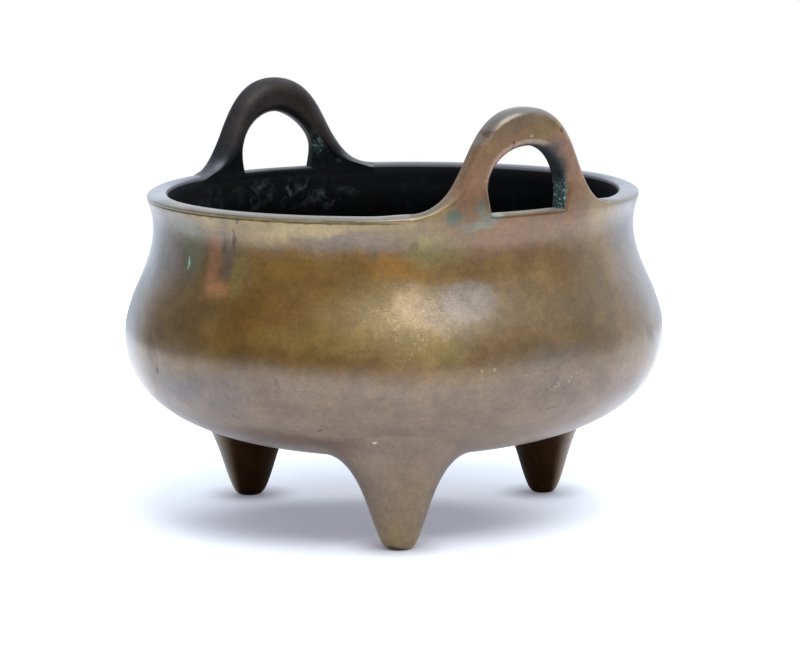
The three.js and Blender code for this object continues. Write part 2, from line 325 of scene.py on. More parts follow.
def aspect(tree, place, normal):
    """How far a face looks outwards, and how far it looks up."""
    node = added(tree, "Group", {"Vector": place, "Normal": normal}, node_tree=ASPECT)
    return node.outputs["Outwards"], node.outputs["Upwards"]


OUTLINE = curve(UNDERSIDE, 60) + curve(SHOULDER, 60)[1:] + curve(NECK, 12)[1:]
OUTLINE_HEIGHTS = [point.z for point in OUTLINE]
MARK_DEPTH = 0.009
GATHERED_SOFTNESS = 0.6


def surface_place(turn, height):
    """A place on the outside at a turn in degrees and a height. The lip and the ears go straight up."""
    after = min(len(OUTLINE) - 1, max(1, bisect_right(OUTLINE_HEIGHTS, height)))
    low, high = OUTLINE[after - 1], OUTLINE[after]
    share = min(1.0, (height - low.z) / (high.z - low.z))
    radius = low.x + (high.x - low.x) * share
    return (radius * cos(radians(turn)), radius * sin(radians(turn)), height)


def blotted(tree, place, mark, softness):
    """The mask of one mark, given as (turn, height, half width, half height)."""
    turn, height, half_width, half_height = mark
    inputs = {
        "Vector": place,
        "Centre": surface_place(turn, height),
        "Turn": (0, 0, radians(turn)),
        "Half Size": (MARK_DEPTH, half_width, half_height),
        "Softness": softness,
    }
    return used(tree, BLOT, inputs)


def marked(tree, colour, place, marks):
    """Lays marks over a colour. Each is its place and size, its softness, its colour and its share."""
    for mark, softness, paint, strength in marks:
        mask = blotted(tree, place, mark, softness)
        colour = mixed(tree, product(tree, mask, strength), colour, paint)
    return colour


def gathered(tree, place, marks):
    """One mask of several marks."""
    mask = blotted(tree, place, marks[0], GATHERED_SOFTNESS)
    for mark in marks[1:]:
        mask = larger(tree, mask, blotted(tree, place, mark, GATHERED_SOFTNESS))
    return mask


def ramped(tree, value, stops, easing="LINEAR"):
    """A colour that follows a value, through stops of (position, colour)."""
    node = added(tree, "ValToRGB", {"Fac": value})
    ramp = node.color_ramp
    ramp.interpolation = easing
    ramp.elements.remove(ramp.elements[1])
    ramp.elements[0].position = stops[0][0]
    ramp.elements[0].color = (*stops[0][1], 1)
    for position, paint in stops[1:]:
        ramp.elements.new(position).color = (*paint, 1)
    return node.outputs["Color"]


CLOUDS = (
    (34.0, 0.53, 0.72, (0.26, 0.165, 0.055), 0.45),
    (27.0, 0.54, 0.74, (0.20, 0.09, 0.025), 0.4),
    (41.0, 0.55, 0.74, (0.19, 0.145, 0.105), 0.5),
)
GOLD = (0.32, 0.215, 0.080)
GOLD_SHARE = 0.16
PIT = (0.035, 0.024, 0.010)
PIT_SHARE = 0.5
FLECK = (0.62, 0.50, 0.30)
FLECK_SHARE = 0.34
# Painted sheen: a pale bluish colour that stands for the reflection of pale surroundings where a surface
# turns away from view.
PAINTED_SHEEN = (0.33, 0.345, 0.385)
PAINTED_SHEEN_HEIGHTS = (0.020, 0.054)
ZONES_TOP = 0.1


def clouded(tree, colour, crooked):
    """Large soft clouds of three other browns."""
    for scale, low, high, paint, strength in CLOUDS:
        shifted = added(tree, "Mapping", {"Vector": crooked, "Location": (scale, 0.0, 0.0)}).outputs[0]
        mask = used(tree, CLOUD, {"Vector": shifted, "Scale": scale, "Detail": 5.0, "Low": low, "High": high})
        colour = mixed(tree, product(tree, mask, strength), colour, paint)
    return colour


def grained(tree, colour, place, ragged):
    """Mottles, two sizes of grain and faint turning lines over a colour. Gives the larger grain as well."""
    mottle = used(tree, CLOUD, {"Vector": ragged, "Scale": 170.0, "Detail": 6.0, "Low": 0.28, "High": 0.72})
    rough = {"Vector": place, "Scale": 620.0, "Detail": 4.0, "Roughness": 0.7}
    fine = added(tree, "TexNoise", rough).outputs["Fac"]
    grain = added(tree, "TexNoise", {"Vector": place, "Scale": 2300.0, "Detail": 2.0}).outputs["Fac"]
    brush = added(tree, "Mapping", {"Vector": place, "Scale": (60.0, 60.0, 1100.0)}).outputs[0]
    streaks = used(tree, CLOUD, {"Vector": brush, "Scale": 1.0, "Detail": 3.0, "Low": 0.3, "High": 0.7})
    tone = levelled(tree, mottle, 0.0, 1.0, 0.88, 1.12)
    tone = product(tree, tone, levelled(tree, fine, 0.3, 0.7, 0.89, 1.11))
    tone = product(tree, tone, levelled(tree, grain, 0.3, 0.7, 0.89, 1.11))
    tone = product(tree, tone, levelled(tree, streaks, 0.0, 1.0, 0.97, 1.03))
    return mixed(tree, 1.0, colour, tone, "MULTIPLY"), fine


def pitted_over(tree, colour, place, ragged, pitted_mask, flecked_mask):
    """Dark pits and pale flecks, rare everywhere and thick in two masks. Gives the pits' mask as well."""
    pits = used(tree, SPECK, {"Vector": ragged, "Scale": 1100.0, "Size": 0.34, "Patches": 110.0, "Low": 0.60})
    if pitted_mask:
        eaten = {"Vector": place, "Scale": 1500.0, "Size": 0.36, "Patches": 420.0, "Low": 0.45}
        pits = larger(tree, pits, product(tree, used(tree, SPECK, eaten), pitted_mask))
    colour = mixed(tree, product(tree, pits, PIT_SHARE), colour, PIT)
    flecks = used(tree, SPECK, {"Vector": place, "Scale": 1000.0, "Size": 0.20, "Patches": 60.0, "Low": 0.61})
    if flecked_mask:
        crumbs = {"Vector": place, "Scale": 900.0, "Size": 0.36, "Patches": 300.0, "Low": 0.45}
        flecks = larger(tree, flecks, product(tree, used(tree, SPECK, crumbs), flecked_mask))
    return mixed(tree, product(tree, flecks, FLECK_SHARE), colour, FLECK), pits


def patina(name, zones, soft_marks, small_marks, pitted=(), flecked=(), more=None, edge_sheen=0.6):
    """The worn brown skin: colours by height, clouds, marks, grain, pits, a painted pale sheen at grazing
    angles and a low bump.

    More lays a piece's own layers over the marks. It gives the colour and a mask of dull places, or None.
    """
    material = bpy.data.materials.new(name)
    material.use_nodes = True
    tree = material.node_tree
    coordinates = added(tree, "TexCoord", {})
    place, normal = coordinates.outputs["Object"], coordinates.outputs["Normal"]
    crooked = used(tree, WARP, {"Vector": place, "Scale": 70.0, "Reach": 0.010})
    crooked = used(tree, WARP, {"Vector": crooked, "Scale": 240.0, "Reach": 0.0035})
    ragged = used(tree, WARP, {"Vector": place, "Scale": 380.0, "Reach": 0.0024})
    height = height_of(tree, crooked)
    limits = {"Value": height, "From Min": 0.0, "From Max": ZONES_TOP}
    level = added(tree, "MapRange", limits).outputs["Result"]
    colour = ramped(tree, level, [(stop / ZONES_TOP, paint) for stop, paint in zones])
    colour = clouded(tree, colour, crooked)
    colour = marked(tree, colour, crooked, soft_marks)
    golden = used(tree, CLOUD, {"Vector": ragged, "Scale": 105.0, "Detail": 5.0, "Low": 0.5, "High": 0.72})
    colour = mixed(tree, product(tree, golden, GOLD_SHARE), colour, GOLD)
    colour = marked(tree, colour, ragged, small_marks)
    dull = None
    if more:
        colour, dull = more(tree, colour, place, ragged, normal)
    colour, fine = grained(tree, colour, place, ragged)
    pitted_mask = gathered(tree, crooked, pitted) if pitted else None
    flecked_mask = gathered(tree, ragged, flecked) if flecked else None
    colour, pits = pitted_over(tree, colour, place, ragged, pitted_mask, flecked_mask)

    # Painted sheen: the pale colour is mixed in at grazing angles, more on the upper belly, as a painted
    # reflection.
    grazing = added(tree, "LayerWeight", {"Blend": 0.5}).outputs["Facing"]
    sheen_reach = levelled(tree, height, *PAINTED_SHEEN_HEIGHTS, 0.2 * edge_sheen, 1.3 * edge_sheen)
    grazing_sheen = product(tree, levelled(tree, grazing, 0.62, 1.0), sheen_reach)
    pale = added(tree, "RGBToBW", {"Color": colour}).outputs["Val"]
    sheen = levelled(tree, pale, 0.012, 0.080, 0.10, 0.50)
    colour = mixed(tree, grazing_sheen, colour, PAINTED_SHEEN)
    wear = used(tree, CLOUD, {"Vector": crooked, "Scale": 60.0, "Detail": 4.0, "Low": 0.3, "High": 0.7})
    gloss = levelled(tree, wear, 0.0, 1.0, 0.29, 0.38)
    if dull:
        sheen = product(tree, sheen, levelled(tree, dull, 0.0, 1.0, 1.0, 0.15))
        gloss = total(tree, gloss, product(tree, dull, 0.2))
    relief = added(tree, "Math", {0: fine, 1: pits}, operation="SUBTRACT").outputs[0]
    bump = added(tree, "Bump", {"Height": relief, "Strength": 0.35, "Distance": 0.00010}).outputs["Normal"]
    principled = tree.nodes["Principled BSDF"]
    principled.inputs["Metallic"].default_value = 0.25
    principled.inputs["IOR"].default_value = 1.7
    tree.links.new(colour, principled.inputs["Base Color"])
    tree.links.new(gloss, principled.inputs["Roughness"])
    tree.links.new(sheen, principled.inputs["Specular IOR Level"])
    tree.links.new(bump, principled.inputs["Normal"])
    return material


LOW_ZONES = (
    # The first stop paints a thin dark line of contact shadow round the bottom of each foot.
    (0.000, (0.05, 0.035, 0.015)),
    (0.0006, (0.30, 0.20, 0.085)),
    (0.006, (0.235, 0.155, 0.08)),
    (0.014, (0.20, 0.13, 0.075)),
    (0.024, (0.194, 0.125, 0.074)),
    (0.040, (0.182, 0.120, 0.079)),
)
BODY_ZONES = LOW_ZONES + (
    (0.0435, (0.155, 0.090, 0.035)),
    (0.0468, (0.165, 0.084, 0.012)),
    (0.056, (0.175, 0.090, 0.014)),
    (0.064, (0.205, 0.108, 0.018)),
    (0.0685, (0.205, 0.115, 0.035)),
    (0.0715, (0.25, 0.165, 0.080)),
    (0.0745, (0.285, 0.195, 0.083)),
    (0.0765, (0.29, 0.205, 0.083)),
)
SOFT_MARKS = (
    ((-84, 0.0560, 0.012, 0.0120), 0.7, (0.145, 0.080, 0.024), 0.6),
    ((-62, 0.0550, 0.010, 0.0070), 0.6, (0.165, 0.074, 0.006), 0.6),
    ((-29, 0.0555, 0.016, 0.0085), 0.6, (0.335, 0.235, 0.100), 0.85),
    ((-43, 0.0515, 0.011, 0.0045), 0.6, (0.26, 0.165, 0.035), 0.6),
    ((-31, 0.0594, 0.0040, 0.0026), 0.7, (0.21, 0.135, 0.045), 0.6),
    ((-23.5, 0.0562, 0.0045, 0.0030), 0.6, (0.42, 0.30, 0.17), 0.7),
    ((-56, 0.0495, 0.0085, 0.0030), 0.7, (0.24, 0.14, 0.03), 0.6),
    ((-27, 0.0590, 0.0035, 0.0040), 0.5, (0.46, 0.31, 0.17), 0.8),
    ((-16.5, 0.0585, 0.0075, 0.0050), 0.6, (0.27, 0.215, 0.16), 0.8),
    ((-22, 0.0497, 0.0050, 0.0030), 0.6, (0.28, 0.195, 0.055), 0.6),
    ((-7, 0.0580, 0.012, 0.0100), 0.7, (0.235, 0.160, 0.080), 0.8),
    ((4, 0.0555, 0.009, 0.0100), 0.7, (0.21, 0.140, 0.070), 0.7),
    ((18, 0.0570, 0.0085, 0.0140), 0.6, (0.12, 0.074, 0.028), 0.8),
    ((40, 0.0600, 0.0120, 0.0170), 0.6, (0.165, 0.135, 0.112), 0.85),
    ((37, 0.0330, 0.0120, 0.0060), 0.8, (0.25, 0.23, 0.22), 0.3),
    ((-3, 0.0405, 0.0190, 0.0060), 0.7, (0.150, 0.108, 0.075), 0.5),
    ((-94, 0.0415, 0.0085, 0.0045), 0.7, (0.085, 0.052, 0.030), 0.85),
    ((-76, 0.0380, 0.0130, 0.0055), 0.7, (0.125, 0.102, 0.088), 0.7),
    ((-72, 0.0670, 0.0060, 0.0060), 0.7, (0.21, 0.125, 0.055), 0.7),
    ((0, 0.0450, 0.0180, 0.0028), 0.6, (0.16, 0.125, 0.088), 0.6),
    ((-50, 0.0458, 0.022, 0.0020), 0.6, (0.15, 0.070, 0.006), 0.5),
    ((-18, 0.0443, 0.012, 0.0035), 0.5, (0.21, 0.12, 0.04), 0.7),
    ((-40, 0.0722, 0.013, 0.0024), 0.5, (0.142, 0.102, 0.078), 0.85),
    ((-56, 0.0675, 0.010, 0.0030), 0.6, (0.26, 0.135, 0.012), 0.7),
    ((-30, 0.0672, 0.0095, 0.0030), 0.7, (0.30, 0.138, 0.020), 0.85),
    ((-22, 0.0706, 0.0070, 0.0034), 0.6, (0.29, 0.195, 0.06), 0.8),
    ((-52, 0.0752, 0.0080, 0.0018), 0.6, (0.42, 0.31, 0.15), 0.7),
    ((-12, 0.0670, 0.014, 0.0022), 0.6, (0.21, 0.115, 0.035), 0.7),
    ((-103, 0.0670, 0.0150, 0.0100), 0.6, (0.20, 0.18, 0.165), 0.9),
    ((-91, 0.0742, 0.0130, 0.0036), 0.6, (0.110, 0.098, 0.086), 0.9),
    ((-104, 0.0520, 0.0090, 0.0090), 0.8, (0.20, 0.175, 0.15), 0.8),
    ((-73, 0.0722, 0.0030, 0.0040), 0.7, (0.15, 0.105, 0.060), 0.7),
    ((-84, 0.0455, 0.009, 0.0040), 0.6, (0.18, 0.120, 0.060), 0.5),
    ((-41, 0.0350, 0.0120, 0.0060), 0.7, (0.21, 0.138, 0.075), 0.6),
    ((-17, 0.0372, 0.0150, 0.0050), 0.7, (0.21, 0.140, 0.078), 0.5),
    ((-84, 0.0670, 0.0045, 0.0065), 0.7, (0.14, 0.145, 0.085), 0.85),
    ((-92, 0.0418, 0.0025, 0.0040), 0.4, (0.07, 0.025, 0.01), 0.8),
    ((29, 0.0455, 0.006, 0.0035), 0.6, (0.24, 0.19, 0.12), 0.5),
    ((37, 0.0470, 0.0025, 0.0022), 0.6, (0.06, 0.05, 0.04), 0.7),
    # Painted shade: a dark reddish band low on the belly's left side, where less light reaches.
    ((-60, 0.0262, 0.020, 0.0025), 0.6, (0.09, 0.03, 0.004), 0.75),
    ((-85, 0.0380, 0.010, 0.0040), 0.6, (0.15, 0.12, 0.095), 0.6),
)
SMALL_MARKS = (
    ((-15.0, 0.0592, 0.0062, 0.0044), 0.2, (0.30, 0.25, 0.205), 0.65),
    ((-76.4, 0.0665, 0.0018, 0.0058), 0.6, (0.36, 0.165, 0.080), 0.9),
    ((-73.6, 0.0606, 0.0036, 0.0019), 0.6, (0.36, 0.165, 0.068), 0.9),
    ((-68.3, 0.0640, 0.0018, 0.0045), 0.7, (0.25, 0.18, 0.05), 0.8),
    ((-71.8, 0.0665, 0.0013, 0.0045), 0.7, (0.13, 0.10, 0.065), 0.8),
    ((-72.8, 0.0700, 0.0006, 0.0022), 0.6, (0.07, 0.05, 0.03), 0.7),
    ((-17.9, 0.0777, 0.0018, 0.0017), 0.25, (0.085, 0.105, 0.065), 0.9),
    ((-12.5, 0.0757, 0.0034, 0.0010), 0.5, (0.16, 0.17, 0.12), 0.75),
    ((-70.0, 0.0722, 0.0005, 0.0022), 0.5, (0.05, 0.035, 0.02), 0.8),
    ((-68.2, 0.0763, 0.0006, 0.0005), 0.5, (0.05, 0.04, 0.02), 0.8),
    ((-85.5, 0.0652, 0.0004, 0.0016), 0.4, (0.30, 0.55, 0.42), 0.9),
    ((-26.5, 0.0714, 0.0010, 0.0012), 0.5, (0.11, 0.075, 0.025), 0.8),
    ((-47.8, 0.0303, 0.0009, 0.0004), 0.5, (0.07, 0.035, 0.02), 0.85),
    ((-68.6, 0.0322, 0.0006, 0.0005), 0.5, (0.08, 0.06, 0.04), 0.7),
    ((-75.7, 0.0343, 0.0005, 0.0004), 0.5, (0.12, 0.12, 0.08), 0.7),
    ((-55.7, 0.0417, 0.0005, 0.0008), 0.5, (0.09, 0.055, 0.03), 0.7),
    ((-34.3, 0.0383, 0.0009, 0.0006), 0.6, (0.11, 0.08, 0.05), 0.5),
    ((-35.8, 0.0273, 0.0004, 0.0004), 0.3, (0.55, 0.42, 0.30), 0.9),
    ((5.7, 0.0383, 0.0011, 0.0003), 0.5, (0.08, 0.06, 0.05), 0.7),
    ((3.7, 0.0337, 0.0011, 0.0003), 0.5, (0.08, 0.06, 0.05), 0.7),
    ((-90.1, 0.0404, 0.0006, 0.0010), 0.4, (0.03, 0.01, 0.00), 0.8),
    ((-93.2, 0.0440, 0.0004, 0.0018), 0.4, (0.05, 0.02, 0.01), 0.7),
)
PITTED = (
    (-38, 0.0487, 0.0045, 0.0045),
    (-33, 0.0530, 0.0090, 0.0055),
    (-27, 0.0585, 0.0060, 0.0050),
    (-16, 0.0445, 0.0045, 0.0020),
    (3, 0.0385, 0.0080, 0.0040),
)
FLECKED = (
    (-13, 0.0440, 0.0032, 0.0035),
    (5, 0.0420, 0.0050, 0.0040),
    (-28, 0.0540, 0.0100, 0.0080),
)
UNDER_EAR = (
    ((-24, 0.0742, 0.0120, 0.0040), 0.7, (0.17, 0.115, 0.055), 0.85),
    ((-23.5, 0.0708, 0.0046, 0.0044), 0.5, (0.24, 0.185, 0.060), 0.7),
    ((2, 0.0725, 0.0170, 0.0042), 0.6, (0.21, 0.122, 0.068), 0.85),
    ((50, 0.0740, 0.0230, 0.0070), 0.5, (0.140, 0.126, 0.120), 0.95),
    ((1, 0.0785, 0.0235, 0.0080), 0.4, (0.165, 0.078, 0.030), 0.95),
)
FRONT = radians(-31.3)
TO_FRONT = (cos(FRONT), sin(FRONT), 0)
REAR_FEET = ("foot_back", "foot_front_left")
# Painted shade for the sides of the rear feet that face the axis.
PAINTED_FOOT_SHADE = (0.026, 0.011, 0.003)
ROOT_REACH = (0.018, 0.013)


def foot_shade(tree, colour, place, ragged, normal):
    """Painted shade on the inner sides of the two rear feet, under the belly."""
    outwards, _ = aspect(tree, ragged, normal)
    behind = levelled(tree, towards(tree, place, TO_FRONT), 0.020, 0.005)
    shade = product(tree, levelled(tree, outwards, 0.75, 0.0), behind)
    # Painted shade: the rear feet's inner sides are darkened.
    return mixed(tree, product(tree, shade, 0.97), colour, PAINTED_FOOT_SHADE), shade


def root_shade(tree, colour, place, ragged, normal):
    """The same painted shade on the flares over the two rear feet."""
    dark, shade = foot_shade(tree, colour, place, ragged, normal)
    turns = [FEET[name][0] for name in REAR_FEET]
    roots = [(FOOT_CIRCLE * cos(turn), FOOT_CIRCLE * sin(turn), FOOT_SEAT[1]) for turn in turns]
    nearest = smaller(tree, *[distance_to(tree, place, root) for root in roots])
    near = levelled(tree, nearest, *ROOT_REACH)
    return mixed(tree, near, colour, dark), product(tree, near, shade)


bowl_bronze = patina(
    "bowl_bronze", BODY_ZONES, SOFT_MARKS + UNDER_EAR, SMALL_MARKS, PITTED, FLECKED, more=root_shade
)

SOOT = (0.0018, 0.0019, 0.0022)
SOOT_FILM = (0.026, 0.036, 0.033)
SOOT_BLOOM = (0.060, 0.080, 0.072)
SOOT_WORN = (0.013, 0.0135, 0.016)
LIP_TOP_GREY = (0.105, 0.100, 0.110)
WALL_TOP = (0.0730, 0.0778)
BLOOMS = ((-172, 0.0738, 0.0055, 0.0045), (178, 0.0722, 0.0060, 0.0040), (166, 0.0705, 0.0060, 0.0022))

soot = bpy.data.materials.new("bowl_inside")
soot.use_nodes = True
tree = soot.node_tree
coordinates = added(tree, "TexCoord", {})
place = coordinates.outputs["Object"]
crooked = used(tree, WARP, {"Vector": place, "Scale": 200.0, "Reach": 0.006})
bloom = used(tree, CLOUD, {"Vector": crooked, "Scale": 420.0, "Detail": 6.0, "Low": 0.44, "High": 0.76})
film = used(tree, CLOUD, {"Vector": place, "Scale": 60.0, "Detail": 3.0, "Low": 0.48, "High": 0.74})
colour = mixed(tree, product(tree, bloom, film), SOOT, SOOT_FILM)
colour = mixed(tree, product(tree, gathered(tree, crooked, BLOOMS), bloom), colour, SOOT_BLOOM)
height = height_of(tree, place)
colour = mixed(tree, levelled(tree, height, *WALL_TOP), colour, SOOT_WORN)
turned_up = levelled(tree, height_of(tree, coordinates.outputs["Normal"]), 0.02, 0.55)
# The inner lip turns grey where it faces up.
colour = mixed(tree, product(tree, turned_up, levelled(tree, height, 0.0740, 0.0770)), colour, LIP_TOP_GREY)
principled = tree.nodes["Principled BSDF"]
principled.inputs["Roughness"].default_value = 0.6
principled.inputs["Specular IOR Level"].default_value = 0.12
tree.links.new(colour, principled.inputs["Base Color"])

FLARE_TOP = 0.036
INSIDE_FLAT_TOP = 0.03

outline = [Vector((UNDERSIDE[0][0] * step / 6, 0, UNDERSIDE[0][1])) for step in range(6)]
outline += curve(UNDERSIDE, 72) + curve(SHOULDER, 40)[1:] + curve(NECK, 12)[1:]
inner = curve(INNER_UNDERSIDE, 40) + curve(INNER_SHOULDER, 30)[1:] + curve(INNER_NECK, 8)[1:]
outline += inner[::-1] + [Vector((0, 0, INNER_UNDERSIDE[0][1]))]
bowl = turned(outline, 256)
bmesh.ops.recalc_face_normals(bowl, faces=bowl.faces)
for face in bowl.faces:
    middle = face.calc_center_median()
    outwards = face.normal.x * middle.x + face.normal.y * middle.y
    face.material_index = 1 if outwards < 0 or (face.normal.z > 0.5 and middle.z < INSIDE_FLAT_TOP) else 0
under = [f for f in bowl.faces if f.normal.z < -0.05 and in_flare(f.calc_center_median(), 0.0015)]
bmesh.ops.subdivide_edges(
    bowl, edges=list({edge for face in under for edge in face.edges}), cuts=2, use_grid_fill=True
)
bowl.normal_update()
outside = [f for f in bowl.faces if f.normal.z < 0 and in_flare(f.calc_center_median(), 0.003)]
for vert in {vert for face in outside for vert in face.verts}:
    if vert.co.z < FLARE_TOP:
        vert.co.z = underside_height(hypot(vert.co.x, vert.co.y))
        for turn, girth in FEET.values():
            height = flare_height(vert.co, turn, girth)
            if height is not None:
                vert.co.z = height
bmesh.ops.bisect_plane(
    bowl,
    geom=bowl.verts[:] + bowl.edges[:] + bowl.faces[:],
    plane_co=(0, 0, FOOT_SEAT[1]),
    plane_no=(0, 0, 1),
    clear_inner=True,
)
bmesh.ops.holes_fill(bowl, edges=[edge for edge in bowl.edges if edge.is_boundary])
piece("bowl_body", bowl, (bowl_bronze, soot), "bowl_bronze", "bowl")


# Feet: three solid round cones with small flat tips, cast with the bowl. Two are a little slimmer, as
# hand work leaves them. Each meets the end of its flare under the bowl in the same slope.

FOOT_TIP = ((0, 0), (0.0024, 0), (0.0026, 0.00007))
FOOT_SIDE = ((0.00275, 0.0002), (0.00467, 0.0011), (0.0059, 0.0080), FOOT_SEAT)
FOOT_MARKS = (((-30, 0.0200, 0.0120, 0.0040), 0.6, (0.20, 0.135, 0.085), 0.6),)
FOOT_TIP_MARKS = (((-30, 0.0036, 0.0110, 0.0042), 0.6, (0.40, 0.305, 0.160), 0.9),)

foot_bronze = patina("foot_bronze", LOW_ZONES, FOOT_MARKS, FOOT_TIP_MARKS, more=foot_shade, edge_sheen=0.12)

for name, (turn, girth) in FEET.items():
    side = [Vector((point.x * girth, 0, point.z)) for point in curve(FOOT_SIDE, 48)]
    tip = [Vector((radius * girth, 0, height)) for radius, height in FOOT_TIP]
    foot = turned(tip + side + [Vector((0, 0, FOOT_SEAT[1]))], 160)
    centre = (FOOT_CIRCLE * cos(turn), FOOT_CIRCLE * sin(turn), 0)
    bmesh.ops.translate(foot, verts=foot.verts, vec=centre)
    piece(name + "_cone", foot, (foot_bronze,), "foot_bronze", name)


# Rim band: the crowned lip over a fine groove, which fades out towards the ears. Under the ears the band
# is cut down to a low seat. It is part of the same casting and was worked with a file.

RIM_TOP = 0.0785
LIP_RADIUS = 0.0583
MOUTH_RADIUS = 0.0534
EAR_SEAT = 0.076
EAR_HALF_WIDTH = 0.028
EAR_TURNS = {"ear_right": 0.0, "ear_left": pi + 0.024}
FACE = ((0.05765, 0.0747), (0.05789, 0.07557), (LIP_RADIUS, 0.07643), (LIP_RADIUS, 0.0773))
CROWN_OUT = (0.0027, 0.0012)
CROWN_IN = (0.0022, 0.0012)
GROOVE_HEIGHT = 0.0769
GROOVE_DEPTH = 0.00018
GROOVE_HALF = 0.00040
GROOVE_TURN = radians(-75)
GROOVE_FADE = 0.010
DIP = 0.00042
DIP_FADE = 0.009
EAR_FACE = (FACE[0], (0.05798, 0.0759), (LIP_RADIUS, 0.0782), (LIP_RADIUS, 0.0818))
EAR_FACE_FADE = 0.009


def smooth(share):
    """Eases a share between 0 and 1."""
    share = min(1.0, max(0.0, share))
    return share * share * (3 - 2 * share)


def curve_radius(points, height):
    """Radius of a curve's points at a height, and of its end above it."""
    after = bisect_right([point.z for point in points], height)
    if after == len(points):
        return points[-1].x
    if after == 0:
        return points[0].x
    low, high = points[after - 1], points[after]
    return low.x + (high.x - low.x) * (height - low.z) / (high.z - low.z)


FACE_POINTS = curve(FACE, 60)
EAR_FACE_POINTS = curve(EAR_FACE, 60)


def face_radius(height, along=EAR_HALF_WIDTH):
    """Radius of the outer face at a height. Under the ears the neck runs up into it in a slower curve."""
    share = smooth((EAR_HALF_WIDTH - along) / EAR_FACE_FADE)
    lip = curve_radius(FACE_POINTS, height)
    return lip + (curve_radius(EAR_FACE_POINTS, height) - lip) * share if share else lip


def groove_depth(height, angle, along):
    """Depth of the groove at a height and a turn, where along is how far the nearest ear's middle is."""
    side = min(1.0, max(0.0, (cos(angle - GROOVE_TURN) + 0.1) / 0.5))
    fade = smooth((along - EAR_HALF_WIDTH) / GROOVE_FADE) * side
    off = abs(height - GROOVE_HEIGHT) / GROOVE_HALF
    return GROOVE_DEPTH * fade * (cos(off * pi) + 1) / 2 if off < 1 else 0.0


def quarter(steps):
    """Pairs of (share across, share of the drop) round a quarter arc, from the side to the top."""
    return [(1 - cos(pi / 2 * step / steps), 1 - sin(pi / 2 * step / steps)) for step in range(steps + 1)]


def dip(angle, along):
    """How far the lip is worn down at a turn. It is full at the front side and fades out towards the ears."""
    front = smooth((cos(angle - FRONT) + 0.5) / 0.8)
    return DIP * front * smooth((along - EAR_HALF_WIDTH) / DIP_FADE)


RIM_STEP = radians(0.9)
SEAT_ROWS = 8
UPPER_ROWS = 22
FACE_MARGIN = 0.00002
face_heights = [FACE[0][1] + (EAR_SEAT - FACE[0][1]) * step / SEAT_ROWS for step in range(SEAT_ROWS + 1)]
face_heights += [EAR_SEAT + (FACE[3][1] - EAR_SEAT) * (step + 1) / UPPER_ROWS for step in range(UPPER_ROWS)]
face = [Vector((face_radius(height), 0, height)) for height in face_heights]
crown = [Vector((LIP_RADIUS - x * CROWN_OUT[0], 0, RIM_TOP - y * CROWN_OUT[1])) for x, y in quarter(14)][1:]
inside = [Vector((MOUTH_RADIUS + x * CROWN_IN[0], 0, RIM_TOP - y * CROWN_IN[1])) for x, y in quarter(12)]
low = [Vector((MOUTH_RADIUS, 0, EAR_SEAT)), Vector((MOUTH_RADIUS, 0, FACE[0][1]))]
full_section = face + crown + inside[:-1][::-1] + low
seat_section = face[: SEAT_ROWS + 1] + low

rim = bmesh.new()
half_turn = EAR_HALF_WIDTH / LIP_RADIUS
right, left = EAR_TURNS["ear_right"], EAR_TURNS["ear_left"]
stretches = [
    (right - half_turn, right + half_turn, seat_section),
    (right + half_turn, left - half_turn, full_section),
    (left - half_turn, left + half_turn, seat_section),
    (left + half_turn, right + 2 * pi - half_turn, full_section),
]
for start, end, section in stretches:
    steps = round((end - start) / RIM_STEP)
    part = turned(section, steps, closed=True, start=start, angle=end - start)
    mesh = bpy.data.meshes.new("stretch")
    part.to_mesh(mesh)
    part.free()
    rim.from_mesh(mesh)
    bpy.data.meshes.remove(mesh)
bmesh.ops.remove_doubles(rim, verts=rim.verts, dist=2e-6)
bmesh.ops.holes_fill(rim, edges=[edge for edge in rim.edges if edge.is_boundary])
for vert in rim.verts:
    radius = hypot(vert.co.x, vert.co.y)
    angle = atan2(vert.co.y, vert.co.x)
    along = min(abs((angle - ear + pi) % (2 * pi) - pi) for ear in EAR_TURNS.values()) * LIP_RADIUS
    if radius > face_radius(vert.co.z) - FACE_MARGIN:
        slower = face_radius(vert.co.z) - face_radius(vert.co.z, along)
        share = 1 - (groove_depth(vert.co.z, angle, along) + slower) / radius
        vert.co.x *= share
        vert.co.y *= share
    lip = (vert.co.z - GROOVE_HEIGHT) / (RIM_TOP - GROOVE_HEIGHT)
    vert.co.z -= dip(angle, along) * max(0.0, lip)
for face in rim.faces:
    middle = face.calc_center_median()
    face.material_index = 1 if hypot(middle.x, middle.y) < MOUTH_RADIUS + CROWN_IN[0] / 5 else 0


# Painted reflection: the colours of the lip's top, set by how it faces the front.
LIP_TOP_REFLECTION = (
    (0.24, (0.085, 0.080, 0.095)),
    (0.36, (0.19, 0.19, 0.21)),
    (0.62, (0.25, 0.25, 0.26)),
    (0.80, (0.140, 0.118, 0.078)),
)
# Painted shade laid in the groove.
PAINTED_GROOVE_SHADE = (0.13, 0.105, 0.036)
GROOVE_SHADE_REACH = (0.0002, 0.0005)
GROOVE_SHADE_ENDS = (0.885, 0.82)


